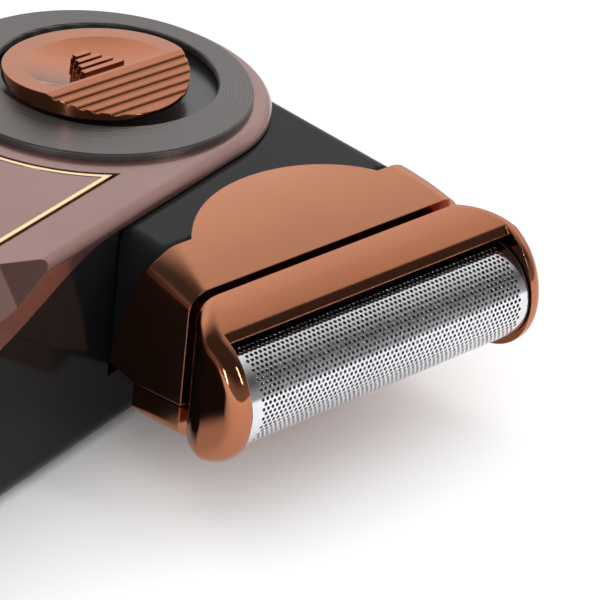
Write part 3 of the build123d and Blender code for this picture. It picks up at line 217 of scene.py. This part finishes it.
def new_group(name, inputs, outputs):
    """An empty shader group with named sockets, and its two end nodes."""
    tree = bpy.data.node_groups.new(name, "ShaderNodeTree")
    for label, kind, value in inputs:
        socket = tree.interface.new_socket(label, in_out="INPUT", socket_type=kind)
        socket.default_value = value
    for label, kind in outputs:
        tree.interface.new_socket(label, in_out="OUTPUT", socket_type=kind)
    return tree, tree.nodes.new("NodeGroupInput"), tree.nodes.new("NodeGroupOutput")


def maths(tree, kind, first, second=None):
    """A maths node fed by sockets or plain numbers; gives its output socket."""
    node = tree.nodes.new("ShaderNodeMath")
    node.operation = kind
    for socket, value in zip(node.inputs, (first, second)):
        if value is None:
            continue
        if isinstance(value, (int, float)):
            socket.default_value = value
        else:
            tree.links.new(value, socket)
    return node.outputs[0]


def spread(tree, value, low, high):
    """Maps a value between two limits to the range 0 to 1."""
    node = tree.nodes.new("ShaderNodeMapRange")
    node.inputs["From Min"].default_value = low
    node.inputs["From Max"].default_value = high
    tree.links.new(value, node.inputs["Value"])
    return node.outputs[0]


def noise(tree, vector, scale, detail=2.0):
    """A noise texture of a given or linked scale; gives its grey output."""
    node = tree.nodes.new("ShaderNodeTexNoise")
    node.inputs["Detail"].default_value = detail
    tree.links.new(vector, node.inputs["Vector"])
    if isinstance(scale, (int, float)):
        node.inputs["Scale"].default_value = scale
    else:
        tree.links.new(scale, node.inputs["Scale"])
    return node.outputs["Fac"]


def object_place(tree):
    """Where a point lies on the piece, in metres."""
    return tree.nodes.new("ShaderNodeTexCoord").outputs["Object"]


def edge_wear_group():
    """Mask of the outer edges, broken up by noise."""
    tree, given, result = new_group(
        "edge wear",
        [("Width", VALUE, 0.0003), ("Amount", VALUE, 0.5)],
        [("Mask", VALUE), ("Normal", VECTOR)],
    )
    bevel = tree.nodes.new("ShaderNodeBevel")
    bevel.samples = BEVEL_SAMPLES
    tree.links.new(given.outputs["Width"], bevel.inputs["Radius"])
    facing = tree.nodes.new("ShaderNodeNewGeometry")
    dot = tree.nodes.new("ShaderNodeVectorMath")
    dot.operation = "DOT_PRODUCT"
    tree.links.new(bevel.outputs["Normal"], dot.inputs[0])
    tree.links.new(facing.outputs["Normal"], dot.inputs[1])
    bend = maths(tree, "SUBTRACT", 1.0, dot.outputs["Value"])
    edge = spread(tree, bend, *EDGE_BEND)
    speckle = noise(tree, object_place(tree), EDGE_SPECKLE, detail=3.0)
    patchy = spread(tree, speckle, *PATCHES)
    worn = maths(tree, "MULTIPLY", edge, patchy)
    tree.links.new(maths(tree, "MULTIPLY", worn, given.outputs["Amount"]), result.inputs["Mask"])
    tree.links.new(bevel.outputs["Normal"], result.inputs["Normal"])
    return tree


def smudge_group():
    """Soft handling marks: a slow change over a few millimetres."""
    tree, given, result = new_group(
        "smudges", [("Scale", VALUE, 120.0)], [("Value", VALUE)]
    )
    slow = noise(tree, object_place(tree), given.outputs["Scale"], detail=4.0)
    tree.links.new(spread(tree, slow, *MID_NOISE), result.inputs["Value"])
    return tree


def scratch_group():
    """Hair-fine lines that run in one direction."""
    tree, given, result = new_group(
        "fine scratches",
        [("Stretch", VECTOR, (4000.0, 60.0, 4000.0)), ("Turn", VALUE, 0.0)],
        [("Height", VALUE)],
    )
    turn = tree.nodes.new("ShaderNodeVectorRotate")
    turn.rotation_type = "Z_AXIS"
    tree.links.new(object_place(tree), turn.inputs["Vector"])
    tree.links.new(given.outputs["Turn"], turn.inputs["Angle"])
    stretch = tree.nodes.new("ShaderNodeVectorMath")
    stretch.operation = "MULTIPLY"
    tree.links.new(turn.outputs[0], stretch.inputs[0])
    tree.links.new(given.outputs["Stretch"], stretch.inputs[1])
    lines = noise(tree, stretch.outputs[0], 1.0, detail=3.0)
    tree.links.new(lines, result.inputs["Height"])
    return tree


def turned_group():
    """Concentric lathe lines about an upright axis."""
    tree, given, result = new_group(
        "turned lines",
        [("Centre", VECTOR, (0.0, 0.0, 0.0)), ("Pitch", VALUE, 0.0004)],
        [("Height", VALUE), ("Value", VALUE)],
    )
    away = tree.nodes.new("ShaderNodeVectorMath")
    away.operation = "SUBTRACT"
    tree.links.new(object_place(tree), away.inputs[0])
    tree.links.new(given.outputs["Centre"], away.inputs[1])
    flat = tree.nodes.new("ShaderNodeVectorMath")
    flat.operation = "MULTIPLY"
    flat.inputs[1].default_value = (1.0, 1.0, 0.0)
    tree.links.new(away.outputs[0], flat.inputs[0])
    length = tree.nodes.new("ShaderNodeVectorMath")
    length.operation = "LENGTH"
    tree.links.new(flat.outputs[0], length.inputs[0])
    turns = maths(tree, "DIVIDE", length.outputs["Value"], given.outputs["Pitch"])
    wave = maths(tree, "SINE", maths(tree, "MULTIPLY", turns, 2 * pi))
    uneven = tree.nodes.new("ShaderNodeTexNoise")
    uneven.noise_dimensions = "1D"
    uneven.inputs["Scale"].default_value = 1.0
    uneven.inputs["Detail"].default_value = 3.0
    tree.links.new(turns, uneven.inputs["W"])
    lifted = maths(tree, "ADD", wave, LATHE_OFFSET)
    both = maths(tree, "MULTIPLY", lifted, uneven.outputs["Fac"])
    tree.links.new(both, result.inputs["Height"])
    tree.links.new(spread(tree, both, *LATHE_RANGE), result.inputs["Value"])
    return tree


def grain_group():
    """The fine even texture of a spark-eroded mould."""
    tree, given, result = new_group(
        "moulded grain", [("Scale", VALUE, 3500.0)], [("Height", VALUE), ("Value", VALUE)]
    )
    fine = noise(tree, object_place(tree), given.outputs["Scale"])
    tree.links.new(fine, result.inputs["Height"])
    tree.links.new(spread(tree, fine, *MID_NOISE), result.inputs["Value"])
    return tree


EDGE_WEAR = edge_wear_group()
SMUDGES = smudge_group()
SCRATCHES = scratch_group()
TURNED = turned_group()
GRAIN = grain_group()


# ---- materials --------------------------------------------------------------

class Finish:
    """A material with one Principled shader, and short ways to dress it."""

    def __init__(self, name, colour, metallic, roughness, **sockets):
        self.material = bpy.data.materials.new(name)
        self.material.use_nodes = True
        self.tree = self.material.node_tree
        self.shader = self.tree.nodes["Principled BSDF"]
        self.shader.inputs["Base Color"].default_value = (*colour, 1)
        self.shader.inputs["Metallic"].default_value = metallic
        self.shader.inputs["Roughness"].default_value = roughness
        for label, value in sockets.items():
            self.shader.inputs[label.replace("_", " ")].default_value = value

    def place(self, group, **values):
        """Adds a shader group and sets its named inputs."""
        node = self.tree.nodes.new("ShaderNodeGroup")
        node.node_tree = group
        for label, value in values.items():
            node.inputs[label].default_value = value
        return node.outputs

    def mix(self, mask, colours):
        """Blends two colours by a mask and returns the output socket."""
        node = self.tree.nodes.new("ShaderNodeMix")
        node.data_type = "RGBA"
        node.inputs["A"].default_value = (*colours[0], 1)
        node.inputs["B"].default_value = (*colours[1], 1)
        self.tree.links.new(mask, node.inputs["Factor"])
        return node.outputs["Result"]

    def over(self, below, mask, colour):
        """Lays a plain colour over another colour where a mask says so."""
        node = self.tree.nodes.new("ShaderNodeMix")
        node.data_type = "RGBA"
        node.inputs["B"].default_value = (*colour, 1)
        self.tree.links.new(below, node.inputs["A"])
        self.tree.links.new(mask, node.inputs["Factor"])
        return node.outputs["Result"]

    def range(self, value, low, high):
        """Turns a 0 to 1 value into a range, for roughness."""
        node = self.tree.nodes.new("ShaderNodeMapRange")
        node.inputs["To Min"].default_value = low
        node.inputs["To Max"].default_value = high
        self.tree.links.new(value, node.inputs["Value"])
        return node.outputs[0]

    def feed(self, label, socket):
        """Feeds a socket of the shader."""
        self.tree.links.new(socket, self.shader.inputs[label])

    def bump(self, height, depth, normal=None):
        """Feeds a height to the shader's normal, over an optional base normal."""
        node = self.tree.nodes.new("ShaderNodeBump")
        node.inputs["Distance"].default_value = depth
        self.tree.links.new(height, node.inputs["Height"])
        if normal is not None:
            self.tree.links.new(normal, node.inputs["Normal"])
        self.feed("Normal", node.outputs["Normal"])


MICRON = 0.000001
WORN_COPPER = (0.66, 0.36, 0.22)


def shade(colour, share):
    """A darker or lighter version of a colour."""
    return tuple(part * share for part in colour)


def lathe_centre(piece):
    """The upright axis of a round piece."""
    low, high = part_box(piece)
    return ((low[0] + high[0]) / 2, (low[1] + high[1]) / 2, 0.0)


def plated(name, colour, rough_low, rough_high, wear_colour):
    """Bright plating over a moulding: smudged, with its edges worn lighter."""
    finish = Finish(name, colour, 1.0, rough_low)
    wear = finish.place(EDGE_WEAR, Width=0.18 * MM, Amount=0.45)
    smudge = finish.place(SMUDGES, Scale=90.0)
    grain = finish.place(GRAIN, Scale=1400.0)
    base = finish.mix(smudge["Value"], (shade(colour, 0.93), colour))
    finish.feed("Base Color", finish.over(base, wear["Mask"], wear_colour))
    finish.feed("Roughness", finish.range(smudge["Value"], rough_low, rough_high))
    finish.bump(grain["Height"], 2 * MICRON, wear["Normal"])
    return finish.material


def copper_plating():
    """Satin copper of the head's housing."""
    return plated("copper_plating", (0.47, 0.195, 0.108), 0.13, 0.2, WORN_COPPER)


def mirror_copper():
    """Polished copper of the foil frame and the thumb button."""
    return plated("mirror_copper", (0.44, 0.165, 0.085), 0.035, 0.07, WORN_COPPER)


def bronze_lacquer():
    """Clear lacquer over metallic bronze."""
    colour = (0.255, 0.133, 0.117)
    finish = Finish(
        "bronze_lacquer", colour, 0.85, 0.28, Coat_Weight=0.5, Coat_Roughness=0.06
    )
    wear = finish.place(EDGE_WEAR, Width=0.2 * MM, Amount=0.35)
    smudge = finish.place(SMUDGES, Scale=70.0)
    flake = finish.place(GRAIN, Scale=9000.0)
    base = finish.mix(flake["Value"], (shade(colour, 0.9), shade(colour, 1.08)))
    finish.feed("Base Color", finish.over(base, wear["Mask"], (0.42, 0.25, 0.20)))
    finish.feed("Roughness", finish.range(smudge["Value"], 0.24, 0.33))
    finish.bump(flake["Height"], 1.2 * MICRON, wear["Normal"])
    return finish.material


def pale_gold():
    """The thin line round the inlay."""
    return plated("pale_gold", (0.88, 0.66, 0.38), 0.14, 0.22, (0.98, 0.84, 0.60))


def turned_grey():
    """Satin dark metal with lathe lines about the recess."""
    colour = (0.125, 0.115, 0.112)
    finish = Finish("turned_grey", colour, 0.75, 0.34)
    lines = finish.place(TURNED, Centre=lathe_centre("bezel_ring"), Pitch=0.42 * MM)
    wear = finish.place(EDGE_WEAR, Width=0.15 * MM, Amount=0.6)
    base = finish.mix(lines["Value"], (shade(colour, 0.72), shade(colour, 1.25)))
    finish.feed("Base Color", finish.over(base, wear["Mask"], (0.36, 0.35, 0.34)))
    finish.feed("Roughness", finish.range(lines["Value"], 0.28, 0.42))
    finish.bump(lines["Height"], 12 * MICRON, wear["Normal"])
    return finish.material


def hub_grey():
    """The smoother floor of the recess."""
    colour = (0.085, 0.083, 0.083)
    finish = Finish("hub_grey", colour, 0.8, 0.26)
    lines = finish.place(TURNED, Centre=lathe_centre("hub_plate"), Pitch=0.25 * MM)
    wear = finish.place(EDGE_WEAR, Width=0.1 * MM, Amount=0.4)
    base = finish.mix(lines["Value"], (shade(colour, 0.88), shade(colour, 1.1)))
    finish.feed("Base Color", finish.over(base, wear["Mask"], (0.3, 0.3, 0.3)))
    finish.feed("Roughness", finish.range(lines["Value"], 0.22, 0.3))
    finish.bump(lines["Height"], 4 * MICRON, wear["Normal"])
    return finish.material


def black_gloss():
    """Piano black moulding with faint wiping marks."""
    finish = Finish("black_gloss", (0.006, 0.006, 0.0065), 0.0, 0.10, Specular_IOR_Level=0.08)
    wear = finish.place(EDGE_WEAR, Width=0.3 * MM, Amount=0.3)
    smudge = finish.place(SMUDGES, Scale=60.0)
    scratch = finish.place(SCRATCHES)
    base = finish.mix(smudge["Value"], ((0.005, 0.005, 0.0055), (0.009, 0.009, 0.0095)))
    finish.feed("Base Color", finish.over(base, wear["Mask"], (0.03, 0.03, 0.03)))
    finish.feed("Roughness", finish.range(smudge["Value"], 0.08, 0.16))
    finish.bump(scratch["Height"], 0.8 * MICRON, wear["Normal"])
    return finish.material


def matt_black():
    """Black moulding with a spark-eroded texture."""
    finish = Finish("matt_black", (0.014, 0.014, 0.014), 0.0, 0.55)
    wear = finish.place(EDGE_WEAR, Width=0.12 * MM, Amount=0.5)
    grain = finish.place(GRAIN, Scale=4200.0)
    base = finish.mix(grain["Value"], ((0.010, 0.010, 0.010), (0.02, 0.02, 0.02)))
    finish.feed("Base Color", finish.over(base, wear["Mask"], (0.06, 0.06, 0.06)))
    finish.feed("Roughness", finish.range(grain["Value"], 0.48, 0.66))
    finish.bump(grain["Height"], 10 * MICRON, wear["Normal"])
    return finish.material


def rolled_metal(name, colour, rough_low, rough_high, turn=0.0, depth=4 * MICRON):
    """Bright rolled or drawn metal with lines along its run."""
    finish = Finish(name, colour, 1.0, rough_low)
    wear = finish.place(EDGE_WEAR, Width=0.1 * MM, Amount=0.5)
    lines = finish.place(SCRATCHES, Turn=turn)
    smudge = finish.place(SMUDGES, Scale=160.0)
    base = finish.mix(smudge["Value"], (shade(colour, 0.86), colour))
    finish.feed("Base Color", finish.over(base, wear["Mask"], shade(colour, 1.15)))
    finish.feed("Roughness", finish.range(lines["Height"], rough_low, rough_high))
    finish.bump(lines["Height"], depth, wear["Normal"])
    return finish.material


def moulded(name, colour, roughness, **sockets):
    """A plain moulded or coated piece: fine grain and slightly rubbed edges."""
    finish = Finish(name, colour, 0.0, roughness, **sockets)
    wear = finish.place(EDGE_WEAR, Width=0.12 * MM, Amount=0.4)
    grain = finish.place(GRAIN, Scale=3000.0)
    smudge = finish.place(SMUDGES, Scale=130.0)
    base = finish.mix(smudge["Value"], (shade(colour, 0.85), colour))
    rubbed = tuple(min(1.0, part * 1.2 + 0.03) for part in colour)
    finish.feed("Base Color", finish.over(base, wear["Mask"], rubbed))
    finish.feed("Roughness", finish.range(grain["Value"], roughness * 0.85, roughness * 1.15))
    finish.bump(grain["Height"], 6 * MICRON, wear["Normal"])
    return finish.material


STEEL = (0.62, 0.62, 0.63)
HEAD_LINES = radians(13.6)      # turns the drawn lines into the head's direction

FINISHES = {
    "copper": copper_plating(),
    "mirror": mirror_copper(),
    "bronze": bronze_lacquer(),
    "gold": pale_gold(),
    "turned": turned_grey(),
    "hub": hub_grey(),
    "gloss": black_gloss(),
    "matt": matt_black(),
    "steel": rolled_metal("drawn_steel", STEEL, 0.2, 0.42, HEAD_LINES),
    "foil": rolled_metal("foil_steel", (0.80, 0.80, 0.83), 0.10, 0.20, HEAD_LINES, MICRON),
    "nickel": rolled_metal("nickel_sheet", (0.70, 0.66, 0.58), 0.22, 0.4),
    "bearing": rolled_metal("sintered_bronze", (0.50, 0.33, 0.16), 0.35, 0.6),
    "sleeve": moulded("battery_sleeve", (0.04, 0.10, 0.30), 0.3, Coat_Weight=0.2),
    "solder": moulded("solder_mask", (0.01, 0.14, 0.05), 0.35, Coat_Weight=0.3),
    "nylon": moulded("natural_nylon", (0.80, 0.78, 0.70), 0.5, Subsurface_Weight=0.1),
    "lens": moulded("light_pipe", (0.85, 0.9, 0.95), 0.15, Transmission_Weight=0.8),
}

WEARS = {
    "top_cover": "bronze", "inlay_trim": "gold", "inlay_plate": "bronze",
    "bezel_ring": "turned", "lower_body": "gloss", "handle_screws": "steel",
    "battery": "sleeve", "battery_clips": "nickel", "circuit_board": "solder",
    "charging_socket": "steel", "charge_light": "lens", "pivot_axle": "steel",
    "thrust_washer": "nylon", "spring_washer": "steel", "retaining_clip": "steel",
    "pivot_bush": "bearing", "arm_upper_shell": "gloss", "arm_lower_shell": "gloss",
    "arm_screws": "steel", "hub_plate": "hub", "slide_switch": "matt",
    "switch_knob": "mirror", "drive_motor": "steel", "motor_bracket": "steel",
    "crank": "nylon", "drive_bridge": "nylon", "guide_rods": "steel",
    "cutter_carrier": "matt", "cutter_blades": "steel", "cutter_springs": "steel",
    "head_housing_top": "copper", "head_housing_bottom": "copper",
    "chassis_screws": "steel", "head_chassis": "matt", "foil_frame": "mirror",
    "foil": "foil", "foil_end_plug_left": "matt", "foil_end_plug_right": "matt",
}


def dress_nodes():
    """Gives every carried-over piece its finish."""
    for name, node in NODES.items():
        for material_slot in node.material_slots:
            material_slot.material = FINISHES[WEARS[name]]


# ---- perforated foil --------------------------------------------------------

HOLE_PITCH = 0.714 * MM         # between neighbouring holes, in any of three directions
ROW_PITCH = HOLE_PITCH * sqrt(3) / 2
HOLE_RADIUS = 0.235 * MM
FOIL_THICKNESS = 0.07 * MM
CORNERS = 12                    # of a hole and of a cell's outline
LEFT_MARGIN = 1.7 * MM
RIGHT_MARGIN = 1.4 * MM
FIRST_HOLE = radians(82)        # where the holes start over the top of the arch
LAST_HOLE = radians(-42)
FIRST_SLOT = radians(-45)       # the row of slots below the holes
LAST_SLOT = radians(-58)
SLOT_NARROW = 0.5
SLOT_LONG = 1.35
CREASE = radians(35)            # sharper bends than this stay crisp
KEY_DIGITS = 4                  # corners that agree to this many digits of a millimetre are one


def cell_ring(middle, along_radius, across_radius):
    """Points round a cell's middle in the sheet's flat measure, pointed along it."""
    ring = []
    for number in range(CORNERS):
        angle = 2 * pi * number / CORNERS
        across = middle[0] + across_radius * sin(angle)
        ring.append((across, middle[1] + along_radius * cos(angle)))
    return ring


def cell_edge(middle):
    """The outline of a hexagonal cell: its six corners and six side middles."""
    outer = HOLE_PITCH / sqrt(3)
    ring = []
    for number in range(CORNERS):
        angle = 2 * pi * number / CORNERS
        size = outer if number % 2 == 0 else HOLE_PITCH / 2
        ring.append((middle[0] + size * sin(angle), middle[1] + size * cos(angle)))
    return ring


class Arch:
    """The foil's bent shape: straight tails and a half round between them."""

    def __init__(self):
        back, front = reach("foil", HEAD_X)
        low, high = reach("foil", UP)
        self.left, self.right = reach("foil", HEAD_Y)
        self.radius = (high - low) / 2
        self.middle_up = (high + low) / 2
        self.middle_along = front - self.radius
        self.tail = self.middle_along - back
        self.length = 2 * self.tail + pi * self.radius

    def angle(self, run):
        """Slope angle at a distance along the sheet, a quarter turn on the tails."""
        turned = (run - self.tail) / self.radius
        return pi / 2 - min(max(turned, 0.0), pi)

    def point(self, across, run, depth):
        """A point of the sheet, at a depth under its outer face."""
        angle = self.angle(run)
        radius = self.radius - depth
        straight = 0.0
        if run < self.tail:
            straight = run - self.tail
        if run > self.length - self.tail:
            straight = self.length - self.tail - run
        along = self.middle_along + radius * cos(angle) + straight
        return in_head(along, across, self.middle_up + radius * sin(angle))


class Sheet:
    """Faces of the outer and inner side of a thin sheet, with shared corners."""

    def __init__(self, arch):
        self.arch = arch
        self.places = {}
        self.outline = []
        self.outer = []

    def corner(self, place):
        """Number of the corner at a place, kept within the sheet; made when it is new."""
        across = min(max(place[0], self.arch.left), self.arch.right)
        run = min(max(place[1], 0.0), self.arch.length)
        key = (round(across / MM, KEY_DIGITS), round(run / MM, KEY_DIGITS))
        if key not in self.places:
            self.places[key] = len(self.outline)
            self.outline.append((across, run))
        return self.places[key]

    def add(self, ring):
        """Adds a face, without the corners that the sheet's edge has merged."""
        face = []
        for corner in ring:
            if not face or corner != face[-1]:
                face.append(corner)
        if face and face[0] == face[-1]:
            face.pop()
        if len(set(face)) > 2:
            self.outer.append(face)

    def plain_cell(self, middle):
        """A closed cell."""
        self.add([self.corner(place) for place in cell_edge(middle)])

    def holed_cell(self, middle, along_radius, across_radius):
        """A cell with a round or oval hole, made of a ring of faces."""
        edge = [self.corner(place) for place in cell_edge(middle)]
        hole = [self.corner(place) for place in cell_ring(middle, along_radius, across_radius)]
        for number in range(CORNERS):
            after = (number + 1) % CORNERS
            self.add([edge[number], edge[after], hole[after], hole[number]])

    def mesh(self, name):
        """Both sides of the sheet, and walls wherever the outer side ends."""
        count = len(self.outline)
        points = [self.arch.point(across, run, 0.0) for across, run in self.outline]
        points += [self.arch.point(across, run, FOIL_THICKNESS) for across, run in self.outline]
        edges = {}
        for face in self.outer:
            for pair in zip(face, face[1:] + face[:1]):
                edges[pair] = True
        faces = [list(reversed(face)) for face in self.outer]
        faces += [[corner + count for corner in face] for face in self.outer]
        for first, second in edges:
            if (second, first) not in edges:
                faces.append([first, second, second + count, first + count])
        mesh = bpy.data.meshes.new(name)
        mesh.from_pydata(points, [], faces)
        mesh.validate()
        mesh.shade_smooth()
        mesh.set_sharp_from_angle(angle=CREASE)
        return mesh


def make_foil():
    """The thin steel arch with its rows of holes, in place of the plain one."""
    arch = Arch()
    sheet = Sheet(arch)
    rows = int(arch.length / ROW_PITCH) + 2
    columns = int((arch.right - arch.left) / HOLE_PITCH) + 2
    for row in range(rows):
        run = row * ROW_PITCH
        angle = arch.angle(run)
        offset = HOLE_PITCH / 2 if row % 2 else 0.0
        for column in range(columns):
            across = arch.left + offset + column * HOLE_PITCH
            middle = (across, run)
            inside = arch.left + LEFT_MARGIN < across < arch.right - RIGHT_MARGIN
            if inside and LAST_HOLE < angle < FIRST_HOLE:
                sheet.holed_cell(middle, HOLE_RADIUS, HOLE_RADIUS)
            elif inside and row % 2 and LAST_SLOT < angle < FIRST_SLOT:
                sheet.holed_cell(middle, HOLE_RADIUS * SLOT_LONG, HOLE_RADIUS * SLOT_NARROW)
            else:
                sheet.plain_cell(middle)
    piece = link(bpy.data.objects.new("perforated_foil", sheet.mesh("perforated_foil")))
    piece.data.materials.append(FINISHES["foil"])
    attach(piece, "cassette")
    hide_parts("foil")


# ---- cutter springs ---------------------------------------------------------

COIL_WIRE = 0.22 * MM           # half the wire's thickness
COIL_TURNS = 4
COIL_STEPS = 24                 # points in a turn
COIL_SIDES = 3                  # rounding of the wire


def coil_line(back, front, radius, across, up):
    """Points of one coil wound along the head from back to front."""
    line = []
    count = COIL_TURNS * COIL_STEPS
    for number in range(count):
        share = number / (count - 1)
        turned = 2 * pi * COIL_TURNS * share
        along = back + share * (front - back)
        line.append(in_head(along, across + radius * cos(turned), up + radius * sin(turned)))
    return line


def wire_mesh(name, lines, wire):
    """A round wire of a given half thickness along each line of points."""
    curve = bpy.data.curves.new(name, "CURVE")
    curve.dimensions = "3D"
    curve.bevel_depth = wire
    curve.bevel_resolution = COIL_SIDES
    curve.use_fill_caps = True
    for line in lines:
        spline = curve.splines.new("POLY")
        spline.points.add(len(line) - 1)
        for point, place in zip(spline.points, line):
            point.co = (*place, 1.0)
    holder = link(bpy.data.objects.new(name, curve))
    bpy.context.view_layer.update()
    mesh = bpy.data.meshes.new_from_object(holder)
    bpy.data.objects.remove(holder)
    mesh.shade_smooth()
    return mesh


def make_springs():
    """Two closed coils along the cutter, as rigid wire; they do not shorten as the cutter is
    pressed back.
    """
    back, front = reach("cutter_springs", HEAD_X)
    low, high = reach("cutter_springs", UP)
    left, right = reach("cutter_springs", HEAD_Y)
    radius = (high - low) / 2 - COIL_WIRE
    middle_up = (low + high) / 2
    inset = radius + COIL_WIRE
    lines = [
        coil_line(back + COIL_WIRE, front - COIL_WIRE, radius, across, middle_up)
        for across in (left + inset, right - inset)
    ]
    piece = link(bpy.data.objects.new("cutter_coils", wire_mesh("cutter_coils", lines, COIL_WIRE)))
    piece.data.materials.clear()
    piece.data.materials.append(FINISHES["steel"])
    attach(piece, "cutter")
    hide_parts("cutter_springs")
    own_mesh(piece)


make_camera()
make_lights()
make_world()
make_floor()
dress_nodes()
make_foil()
make_springs()
bpy.context.scene.view_settings.view_transform = "Standard"
